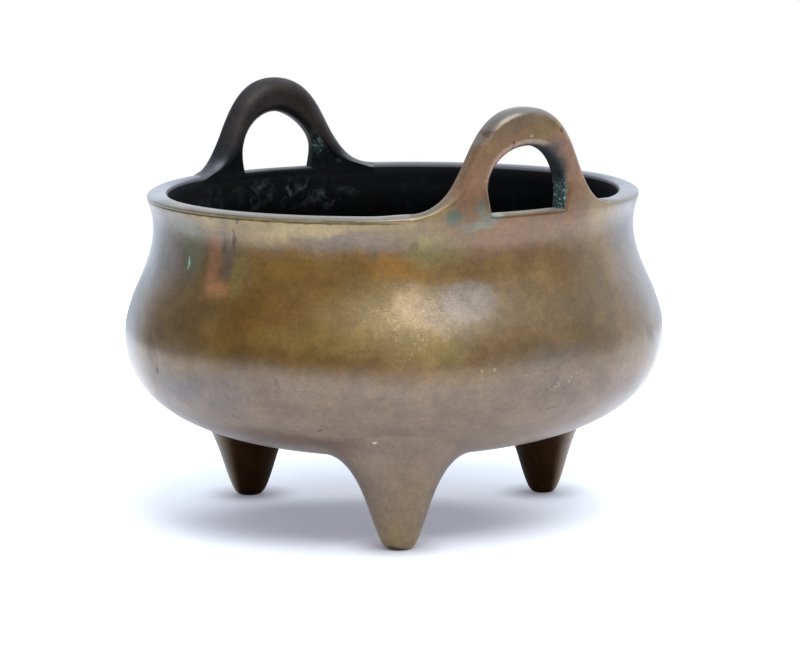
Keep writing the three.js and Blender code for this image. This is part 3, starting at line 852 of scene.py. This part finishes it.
def lip_shade(tree, colour, place, ragged, normal):
    """Painted reflection makes the top of the lip grey, paler at the sides and darker at the back, and
    painted shade darkens the groove.
    """
    _, upwards = aspect(tree, place, normal)
    straight = level_direction(tree, ragged)
    facing = levelled(tree, towards(tree, straight, TO_FRONT), -1.0, 1.0)
    # Painted reflection on the lip's top, by how it faces the front.
    colour = mixed(tree, levelled(tree, upwards, 0.25, 0.75), colour, ramped(tree, facing, LIP_TOP_REFLECTION))
    height = height_of(tree, ragged)
    above = levelled(tree, height, GROOVE_HEIGHT - GROOVE_SHADE_REACH[1], GROOVE_HEIGHT - GROOVE_SHADE_REACH[0])
    below = levelled(tree, height, GROOVE_HEIGHT + GROOVE_SHADE_REACH[1], GROOVE_HEIGHT + GROOVE_SHADE_REACH[0])
    sideways = added(tree, "SeparateXYZ", {0: straight}).outputs["X"]
    across = added(tree, "Math", {0: sideways}, operation="ABSOLUTE").outputs[0]
    side = towards(tree, straight, (cos(GROOVE_TURN), sin(GROOVE_TURN), 0))
    clear = product(tree, levelled(tree, across, *GROOVE_SHADE_ENDS), levelled(tree, side, -0.1, 0.4, 0.0, 0.75))
    # Painted shade in the groove.
    return mixed(tree, product(tree, product(tree, above, below), clear), colour, PAINTED_GROOVE_SHADE), None


rim_bronze = patina("rim_bronze", BODY_ZONES, SOFT_MARKS + UNDER_EAR, SMALL_MARKS, more=lip_shade, edge_sheen=0.15)
piece("rim_lip", rim, (rim_bronze, soot), "rim_bronze", "rim_band")


# Ears: two arched handles, each a 5 to 6 mm plate bent round the mouth with its own stretch of lip. They
# flow into the neck outside and into the wall inside. Their outer edges were filed crisp and their inner
# ones rounded, and hand work left the two ears and their holes a little uneven.

EAR_HEIGHTS = {"ear_right": 0.0228, "ear_left": 0.0224}
HOLE_HALVES = {"ear_right": 0.0105, "ear_left": 0.0112}
HOLE_SHIFTS = {"ear_right": 0.00085, "ear_left": 0.0001}
HOLE_LEANS = {"ear_right": -0.0003, "ear_left": 0.0006}
HOLE_FULLNESS_SHARES = {"ear_right": 0.60, "ear_left": 0.47}
ARCH_SHIFTS = {"ear_right": 0.00075, "ear_left": -0.0006}
ARCH_GROWTHS = {"ear_right": 0.0003, "ear_left": 0.0001}
HOLE_GROWTHS = {"ear_right": 0.0002, "ear_left": 0.0}
HOLE_TOP = 0.0141
SILL = -0.0005
EAR_SHARES = (
    ((1, 0), (0.69, 0), (0.555, 0.42), (0.51, 0.526)),
    ((0.51, 0.526), (0.438, 0.693), (0.322, 1), (0, 1)),
)
HOLE_FOOT_SHARES = ((0.94, 0), (0.98, 0.13), (1, 0.22), (1, 0.35))
RIM_WALL = 0.0049
EAR_WALL = 0.006
SILL_EDGES = ((0.0009, 0.0009), (0.0009, 0.0009))
HOLE_EDGES = ((0.0018, 0.0018), (0.0020, 0.0020))
LEG_EDGES = {
    "ear_right": ((0.0038, 0.0019), (0.0010, 0.0010)),
    "ear_left": ((0.0012, 0.0012), (0.0042, 0.0032)),
}
TOP_EDGES = {
    "ear_right": ((0.0030, 0.0020), (0.0014, 0.0010)),
    "ear_left": ((0.0017, 0.0014), (0.0042, 0.0036)),
}
LEG_HEIGHT = 0.006
TOP_BLEND = 0.010
WALL_BLEND = 0.007
ARCH_SHIFT_HEIGHTS = (0.0, LEG_HEIGHT)
LEFT_SHIFT_HEIGHTS = (0.010, 0.022)
GROWTH_REACH = (0.004, 0.009)
HOLE_SPACING = 1.15
LINE_STEPS = 200
SEAT_COLUMNS = 40
END_COLUMNS = 26
ARCH_COLUMNS = 84
FACE_ROWS = 16
ROUND_ROWS = 8
FLAT_ROWS = 2


def flat_curve(shares, size, steps):
    """Points along both halves of an edge, flat, as (along the rim, above its start)."""
    made = []
    for part in shares:
        knots = [Vector((along * size[0], up * size[1])) for along, up in part]
        made += interpolate_bezier(*knots, steps + 1)[1 if made else 0 :]
    return made


def spread(points, count, easing=1.0):
    """The same line with its points spread evenly along its length."""
    lengths = [0.0]
    for one, two in zip(points, points[1:]):
        lengths.append(lengths[-1] + (two - one).length)
    made = []
    for step in range(count + 1):
        target = lengths[-1] * (step / count) ** easing
        after = min(len(points) - 1, max(1, bisect_right(lengths, target)))
        span = lengths[after] - lengths[after - 1]
        made.append(points[after - 1].lerp(points[after], (target - lengths[after - 1]) / span))
    return made


def inwards(points, sign):
    """Directions square to a line, into the metal."""
    made = []
    for step in range(len(points)):
        one, two = points[max(0, step - 1)], points[min(len(points) - 1, step + 1)]
        run = (two - one).normalized()
        made.append(Vector((-run.y, run.x)) * sign)
    return made


def thickness(height):
    """Thickness of an ear at a height above the rim."""
    return RIM_WALL + (EAR_WALL - RIM_WALL) * smooth(height / WALL_BLEND)


def blended(one, two, share):
    """Values between those of two rows of numbers."""
    return tuple(a + (b - a) * share for a, b in zip(one, two))


def rounded(point, direction, edges, more_edges, share):
    """Places (along, up, depth) over a rounded edge, from the outer face to the inner one."""
    front, back = [blended(one, two, share) for one, two in zip(edges, more_edges)]
    made = []
    for across, drop in quarter(ROUND_ROWS):
        flat = point + direction * front[1] * drop
        made.append((flat.x, flat.y, front[0] * across))
    wall = thickness(point.y)
    for step in range(1, FLAT_ROWS):
        made.append((point.x, point.y, front[0] + (wall - front[0] - back[0]) * step / FLAT_ROWS))
    for across, drop in quarter(ROUND_ROWS)[::-1]:
        flat = point + direction * back[1] * drop
        made.append((flat.x, flat.y, wall - back[0] * across))
    return made


def half_ear(name, side):
    """Columns of places (along, up, depth) round the section, from the middle of the sill to the top."""
    hole_half = HOLE_HALVES[name]
    sill = spread([Vector((0, 0)), Vector((HOLE_FOOT_SHARES[0][0] * hole_half, 0))], SEAT_COLUMNS)
    hole_shares = (HOLE_FOOT_SHARES, ((1, 0.35), (1, 0.67), (HOLE_FULLNESS_SHARES[name], 1), (0, 1)))
    opening = flat_curve(hole_shares, (hole_half, HOLE_TOP + HOLE_GROWTHS[name] - SILL), LINE_STEPS)
    hole_line = sill + spread(opening, ARCH_COLUMNS + END_COLUMNS, HOLE_SPACING)[1:]
    hole_inwards = inwards(hole_line, -1)
    hole_inwards[-1] = Vector((0, 1))
    arch = flat_curve(EAR_SHARES, (EAR_HALF_WIDTH, EAR_HEIGHTS[name]), LINE_STEPS)
    arch_line = spread(arch, ARCH_COLUMNS)
    low, high = LEFT_SHIFT_HEIGHTS if side > 0 and name == "ear_left" else ARCH_SHIFT_HEIGHTS
    for point in arch_line:
        point.x += side * ARCH_SHIFTS[name] * smooth((point.y - low) / (high - low))
        growth = smooth(point.y / GROWTH_REACH[1]) * min(1.0, point.x / GROWTH_REACH[0])
        point.x += ARCH_GROWTHS[name] * growth
    arch_inwards = inwards(arch_line, 1)
    arch_inwards[0] = Vector((0, -1))
    arch_inwards[-1] = Vector((0, -1))
    seat = EAR_SEAT - RIM_TOP
    lip_edges = (CROWN_OUT, CROWN_IN)
    toe = rounded(arch_line[0], arch_inwards[0], lip_edges, lip_edges, 0)
    made = []
    for step, line_point in enumerate(hole_line):
        lean = HOLE_SHIFTS[name] + HOLE_LEANS[name] * smooth(line_point.y / HOLE_TOP)
        point = line_point + Vector((side * lean, SILL))
        raised = smooth(point.y / LEG_HEIGHT)
        hole_edge = rounded(point, hole_inwards[step], SILL_EDGES, HOLE_EDGES, raised)
        if step <= SEAT_COLUMNS:
            along = EAR_HALF_WIDTH * step / SEAT_COLUMNS
            outer_edge = [(along, seat, depth) for _, _, depth in toe]
        elif step <= SEAT_COLUMNS + END_COLUMNS:
            share = (step - SEAT_COLUMNS) / END_COLUMNS
            outer_edge = [(along, seat + (up - seat) * share, depth) for along, up, depth in toe]
        else:
            place = step - SEAT_COLUMNS - END_COLUMNS
            point, direction = arch_line[place], arch_inwards[place]
            if point.y < LEG_HEIGHT:
                raised = smooth(point.y / LEG_HEIGHT)
                outer_edge = rounded(point, direction, lip_edges, LEG_EDGES[name], raised)
            else:
                raised = smooth((point.y - LEG_HEIGHT) / TOP_BLEND)
                outer_edge = rounded(point, direction, LEG_EDGES[name], TOP_EDGES[name], raised)
        front = [blended(hole_edge[0], outer_edge[0], row / FACE_ROWS) for row in range(FACE_ROWS)]
        back = [blended(outer_edge[-1], hole_edge[-1], row / FACE_ROWS) for row in range(FACE_ROWS)]
        made.append(front + outer_edge[:-1] + back + hole_edge[1:][::-1])
    return made


EAR_ZONES = (
    (0.0745, (0.285, 0.195, 0.083)),
    (0.0810, (0.29, 0.205, 0.083)),
    (0.0835, (0.27, 0.14, 0.070)),
    (0.092, (0.270, 0.142, 0.085)),
    (0.0965, (0.26, 0.155, 0.080)),
    (0.1005, (0.20, 0.14, 0.085)),
)
# The toes carry the lip's painted reflection into each ear: paler on the near ear, dark on the far one. The
# far ear's flanks are painted near black as painted shade, where the near ear's are coppery.
EAR_LOOKS = {
    "ear_right": {
        "flank": (0.235, 0.145, 0.085),
        "toe": (0.15, 0.13, 0.10),
        "top share": 0.85,
        "hollow": (0.048, 0.052, 0.056),
        "sill": (0.20, 0.17, 0.11),
        "crust": (10.8, 0.0812, 0.0026, 0.0034),
        "shadows": (((8.7, 0.0860, 0.0027, 0.0050), 0.4), ((6.0, 0.0908, 0.0032, 0.0022), 0.5)),
        "soft marks": (
            ((-11, 0.0800, 0.0014, 0.0030), 0.6, (0.16, 0.17, 0.13), 0.7),
            ((-12, 0.0925, 0.0030, 0.0020), 0.7, (0.24, 0.16, 0.05), 0.5),
            ((6, 0.0965, 0.0050, 0.0015), 0.6, (0.22, 0.16, 0.05), 0.5),
            ((4, 0.0932, 0.0060, 0.0012), 0.8, (0.10, 0.085, 0.075), 0.6),
        ),
        "small marks": (
            ((-17.9, 0.0777, 0.0018, 0.0017), 0.25, (0.085, 0.105, 0.065), 0.9),
            ((-12.5, 0.0757, 0.0034, 0.0010), 0.5, (0.16, 0.17, 0.12), 0.75),
            ((-7.7, 0.0779, 0.0018, 0.0004), 0.5, (0.42, 0.44, 0.38), 0.8),
            ((-9.0, 0.0772, 0.0030, 0.0010), 0.5, (0.12, 0.14, 0.11), 0.7),
            ((-12.5, 0.0945, 0.0022, 0.0011), 0.6, (0.22, 0.23, 0.19), 0.7),
            ((-9.5, 0.0962, 0.0016, 0.0006), 0.5, (0.06, 0.055, 0.045), 0.8),
            ((-4.0, 0.0929, 0.0003, 0.0009), 0.4, (0.06, 0.035, 0.02), 0.8),
            ((0.6, 0.0949, 0.0003, 0.0003), 0.3, (0.60, 0.55, 0.45), 0.9),
            ((9.0, 0.0959, 0.0004, 0.0005), 0.4, (0.07, 0.04, 0.025), 0.8),
            ((14.5, 0.0795, 0.0010, 0.0004), 0.4, (0.12, 0.06, 0.03), 0.6),
        ),
    },
    "ear_left": {
        # Painted shade: near black flanks on the far ear.
        "flank": (0.032, 0.030, 0.032),
        "toe": (0.052, 0.050, 0.062),
        "top share": 0.0,
        "hollow": (0.012, 0.0125, 0.014),
        "sill": (0.10, 0.10, 0.11),
        "crust": (169.2, 0.0833, 0.0012, 0.0022),
        "shadows": (),
        "soft marks": (),
        "small marks": (
            ((-164, 0.0815, 0.0034, 0.0042), 0.8, (0.010, 0.014, 0.020), 0.7),
            ((168, 0.0800, 0.0050, 0.0030), 0.8, (0.010, 0.016, 0.016), 0.7),
            ((171, 0.0870, 0.0006, 0.0010), 0.6, (0.10, 0.11, 0.10), 0.5),
            ((163.5, 0.0795, 0.0008, 0.0006), 0.6, (0.09, 0.11, 0.10), 0.5),
        ),
    },
}
TALL_HEIGHTS = (0.0790, 0.0835)
TOP_HEIGHTS = (0.0900, 0.0990)
INSIDE_HEIGHTS = (0.0778, 0.088)
EAR_TOP = (0.105, 0.106, 0.088)
EAR_INSIDE = (0.040, 0.034, 0.032)
HOLLOW_SIZE = (1.22, 1.2)
HOLLOW_SOFTNESS = 0.04
SILL_HEIGHTS = (RIM_TOP + 0.001, RIM_TOP)
CRUST = (0.06, 0.10, 0.10)
CRYSTAL = (0.34, 0.50, 0.46)


def inner_side(tree, height, ragged, upwards, tall):
    """The inner side of an ear: soot as on the wall under it, brown further up, and grey on the low lip."""
    wall = mixed(tree, levelled(tree, height, *WALL_TOP), SOOT, SOOT_WORN)
    colour = mixed(tree, levelled(tree, height_of(tree, ragged), *INSIDE_HEIGHTS), wall, EAR_INSIDE)
    low_crown = product(tree, levelled(tree, upwards, 0.02, 0.55), levelled(tree, tall, 1.0, 0.0))
    return mixed(tree, low_crown, colour, LIP_TOP_GREY)


def hole(tree, colour, name, place, height, upwards, away):
    """Painted shade: the edge round an ear's hole is near black, with a paler sill. Gives the mask of the
    edge as well.
    """
    half_width, half_height = HOLE_HALVES[name] * HOLLOW_SIZE[0], HOLE_TOP * HOLLOW_SIZE[1]
    middle = (EAR_TURNS[name] * 180 / pi, RIM_TOP, half_width, half_height)
    opening = blotted(tree, place, middle, HOLLOW_SOFTNESS)
    hollow = product(tree, opening, away)
    # Painted shade in the hole.
    colour = mixed(tree, hollow, colour, EAR_LOOKS[name]["hollow"])
    sill = product(tree, levelled(tree, upwards, 0.5, 0.9), opening)
    sill = product(tree, sill, levelled(tree, height, *SILL_HEIGHTS))
    return mixed(tree, product(tree, sill, 0.8), colour, EAR_LOOKS[name]["sill"]), hollow


def crusted(tree, colour, name, place, ragged, away):
    """Green crystals that grew in a corner of an ear's hole."""
    crust = product(tree, blotted(tree, ragged, EAR_LOOKS[name]["crust"], 0.5), away)
    colour = mixed(tree, product(tree, crust, 0.75), colour, CRUST)
    grains = {"Vector": place, "Scale": 3000.0, "Size": 0.62, "Patches": 1300.0, "Low": 0.44}
    return mixed(tree, product(tree, crust, used(tree, SPECK, grains)), colour, CRYSTAL)


def ear_bronze(name):
    """The skin of an ear: coppery outside, grey at the edges, near black inside, and near black in the hole
    as painted shade.
    """
    look = EAR_LOOKS[name]

    def shade(tree, colour, place, ragged, normal):
        outwards, upwards = aspect(tree, place, normal)
        height = height_of(tree, place)
        face = levelled(tree, outwards, 0.30, 0.80)
        away = added(tree, "Math", {0: 1.0, 1: face}, operation="SUBTRACT").outputs[0]
        tall = levelled(tree, height, *TALL_HEIGHTS)
        top = levelled(tree, height, *TOP_HEIGHTS)
        crown = levelled(tree, upwards, 0.25, 0.8)
        colour = mixed(tree, face, look["flank"], colour)
        # Painted reflection on the toes, carried on from the lip's top.
        edge = mixed(tree, tall, look["toe"], look["flank"])
        colour = mixed(tree, product(tree, crown, away), colour, edge)
        colour = mixed(tree, product(tree, product(tree, crown, top), look["top share"]), colour, EAR_TOP)
        inner = levelled(tree, outwards, 0.0, -0.6)
        colour = mixed(tree, inner, colour, inner_side(tree, height, ragged, upwards, tall))
        colour, hollow = hole(tree, colour, name, place, height, upwards, away)
        colour = crusted(tree, colour, name, place, ragged, away)
        if look["shadows"]:
            # Painted shadows on the face by the upper right of the hole.
            masks = [blotted(tree, place, mark, softness) for mark, softness in look["shadows"]]
            shadowed = larger(tree, *masks)
            colour = mixed(tree, product(tree, shadowed, 0.85), colour, look["hollow"])
            dull = larger(tree, product(tree, away, levelled(tree, top, 1.0, 0.0, 0.4, 1.0)), shadowed)
        else:
            dull = product(tree, away, levelled(tree, hollow, 0.0, 1.0, 0.7, 1.0))
        return marked(tree, colour, ragged, look["small marks"]), dull

    soft_marks = SOFT_MARKS + UNDER_EAR + look["soft marks"]
    return patina(name + "_bronze", EAR_ZONES, soft_marks, (), more=shade, edge_sheen=0.08)


for name, turn in EAR_TURNS.items():
    columns = half_ear(name, 1)
    other_half = half_ear(name, -1)[1:-1][::-1]
    columns += [[(-along, up, depth) for along, up, depth in column] for column in other_half]
    ear = bmesh.new()
    rows = len(columns[0])
    bmesh.ops.create_grid(ear, x_segments=len(columns), y_segments=rows, size=1)
    for vert in ear.verts:
        column = round((vert.co.x + 1) / 2 * len(columns)) % len(columns)
        row = round((vert.co.y + 1) / 2 * rows) % rows
        along, up, depth = columns[column][row]
        height = RIM_TOP + up
        outer = face_radius(height, abs(along))
        wall = thickness(up)
        inner_radius = MOUTH_RADIUS if up < 0 else LIP_RADIUS - wall
        radius = outer + (inner_radius - outer) * depth / wall
        angle = turn + along / LIP_RADIUS
        vert.co = (radius * cos(angle), radius * sin(angle), height)
    bmesh.ops.remove_doubles(ear, verts=ear.verts, dist=1e-6)
    piece(name + "_arch", ear, (ear_bronze(name),), "ear_bronze", name)


# The setting: the camera of the photograph, a white sweep with a grey pool of shadow in the middle and a
# darker spot round each foot's tip, a bright room towards the back and a large soft light overhead.

CAMERA_DISTANCE = 0.780
CAMERA_HEIGHT = 0.167
CAMERA_PITCH = 0.1568
CAMERA_YAW = 0.0018
CAMERA_ROLL = -0.0091
FOCAL_PIXELS = 3298.8
PICTURE_WIDTH = 800

camera_data = bpy.data.cameras.new("camera")
camera_data.sensor_width = 36
camera_data.sensor_fit = "HORIZONTAL"
camera_data.lens = FOCAL_PIXELS / PICTURE_WIDTH * camera_data.sensor_width
camera_data.clip_start = 0.01
camera_data.clip_end = 20
camera = bpy.data.objects.new("camera", camera_data)
bpy.context.scene.collection.objects.link(camera)
bpy.context.scene.camera = camera
level_ahead = Vector((sin(CAMERA_YAW), cos(CAMERA_YAW), 0))
ahead = level_ahead * cos(CAMERA_PITCH) - Vector((0, 0, sin(CAMERA_PITCH)))
across = Vector((cos(CAMERA_YAW), -sin(CAMERA_YAW), 0))
above = across.cross(ahead)
rolled_across = cos(CAMERA_ROLL) * across + sin(CAMERA_ROLL) * above
rolled_above = -sin(CAMERA_ROLL) * across + cos(CAMERA_ROLL) * above
stand = Matrix.Rotation(FRONT + pi / 2, 4, "Z")
pose = Matrix((rolled_across, rolled_above, -ahead)).transposed().to_4x4()
camera.matrix_world = stand @ Matrix.Translation((0, -CAMERA_DISTANCE, CAMERA_HEIGHT)) @ pose

PAPER_RADIUS = 0.37
POOL_SQUEEZE = 0.6
POOL_CENTRE = (0.012, -0.008 * POOL_SQUEEZE, 0)
# Painted shadow: the sweep's glow is grey in a pool under the bowl and darker round each foot's tip.
POOL = (
    (0.016, (0.20, 0.213, 0.262)),
    (0.033, (0.44, 0.465, 0.53)),
    (0.068, (0.40, 0.44, 0.52)),
    (0.12, (1, 1, 1)),
)
CONTACT_REACH = (0.002, 0.014)
CONTACT_SHARE = 0.8
CONTACT_SHADOW = (0.05, 0.045, 0.05)
floor_mesh = bmesh.new()
bmesh.ops.create_circle(floor_mesh, cap_ends=True, segments=96, radius=PAPER_RADIUS)
floor_data = bpy.data.meshes.new("floor")
floor_mesh.to_mesh(floor_data)
floor_mesh.free()
floor = bpy.data.objects.new("floor", floor_data)
bpy.context.scene.collection.objects.link(floor)

paper = bpy.data.materials.new("paper_sweep")
paper.use_nodes = True
tree = paper.node_tree
tree.nodes.remove(tree.nodes["Principled BSDF"])
place = added(tree, "TexCoord", {}).outputs["Object"]
forward = towards(tree, place, TO_FRONT)
sideways = towards(tree, place, (-POOL_SQUEEZE * sin(FRONT), POOL_SQUEEZE * cos(FRONT), 0))
flat = added(tree, "CombineXYZ", {"X": forward, "Y": sideways}).outputs[0]
pool = ramped(tree, distance_to(tree, flat, POOL_CENTRE), POOL, "EASE")
tips = [(FOOT_CIRCLE * cos(turn), FOOT_CIRCLE * sin(turn), 0) for turn, _ in FEET.values()]
first, second, third = [distance_to(tree, place, tip) for tip in tips]
nearest = smaller(tree, smaller(tree, first, second), third)
contact = levelled(tree, nearest, *CONTACT_REACH, CONTACT_SHARE, 0.0)
# The sweep glows in this colour for camera and glossy rays, so the pool and the spots round the feet are
# painted shadow.
rays = added(tree, "LightPath", {}).outputs
seen = larger(tree, rays["Is Camera Ray"], rays["Is Glossy Ray"])
shaded = mixed(tree, contact, pool, CONTACT_SHADOW)
glow = added(tree, "Emission", {"Color": shaded, "Strength": seen}).outputs[0]
matt = added(tree, "BsdfDiffuse", {"Color": (0.82, 0.84, 0.88, 1)}).outputs[0]
both = added(tree, "AddShader", {0: matt, 1: glow}).outputs[0]
tree.links.new(both, tree.nodes["Material Output"].inputs["Surface"])
floor_data.materials.append(paper)

BACK = FRONT + radians(160)
BACK_SPREAD = (0.20, 0.62)
BACK_LEVELS = (0.22, 1.35)
TOP_SPREAD = (0.6, 0.98)
TOP_LEVEL = 1.2

world = bpy.data.worlds.new("studio")
world.use_nodes = True
bpy.context.scene.world = world
tree = world.node_tree
direction = added(tree, "TexCoord", {}).outputs["Generated"]
backwards = towards(tree, direction, (cos(BACK), sin(BACK), 0))
back_level = levelled(tree, backwards, *BACK_SPREAD, *BACK_LEVELS)
top_level = levelled(tree, height_of(tree, direction), *TOP_SPREAD, 0.0, TOP_LEVEL)
level = total(tree, back_level, top_level)
room = added(tree, "Background", {"Color": (0.84, 0.92, 1.04, 1), "Strength": level}).outputs[0]
backdrop = tree.nodes["Background"]
backdrop.inputs["Color"].default_value = (1, 1, 1, 1)
seen = added(tree, "LightPath", {}).outputs["Is Camera Ray"]
either = added(tree, "MixShader", {"Fac": seen, 1: room, 2: backdrop.outputs[0]}).outputs[0]
tree.links.new(either, tree.nodes["World Output"].inputs["Surface"])

SOFTBOX_TURN = FRONT + radians(25)
SOFTBOX_LIFT = radians(63)
SOFTBOX_DISTANCE = 0.85
SOFTBOX_AIM = Vector((0, 0, 0.04))
lamp = bpy.data.lights.new("softbox", "AREA")
lamp.shape = "SQUARE"
lamp.size = 0.65
lamp.energy = 6.5
softbox = bpy.data.objects.new("softbox", lamp)
bpy.context.scene.collection.objects.link(softbox)
level_facing = Vector((cos(SOFTBOX_TURN), sin(SOFTBOX_TURN), 0))
facing = level_facing * cos(SOFTBOX_LIFT) + Vector((0, 0, sin(SOFTBOX_LIFT)))
softbox.location = SOFTBOX_AIM + facing * SOFTBOX_DISTANCE
softbox.rotation_euler = (-facing).to_track_quat("-Z", "Y").to_euler()

bpy.context.scene.view_settings.view_transform = "Standard"
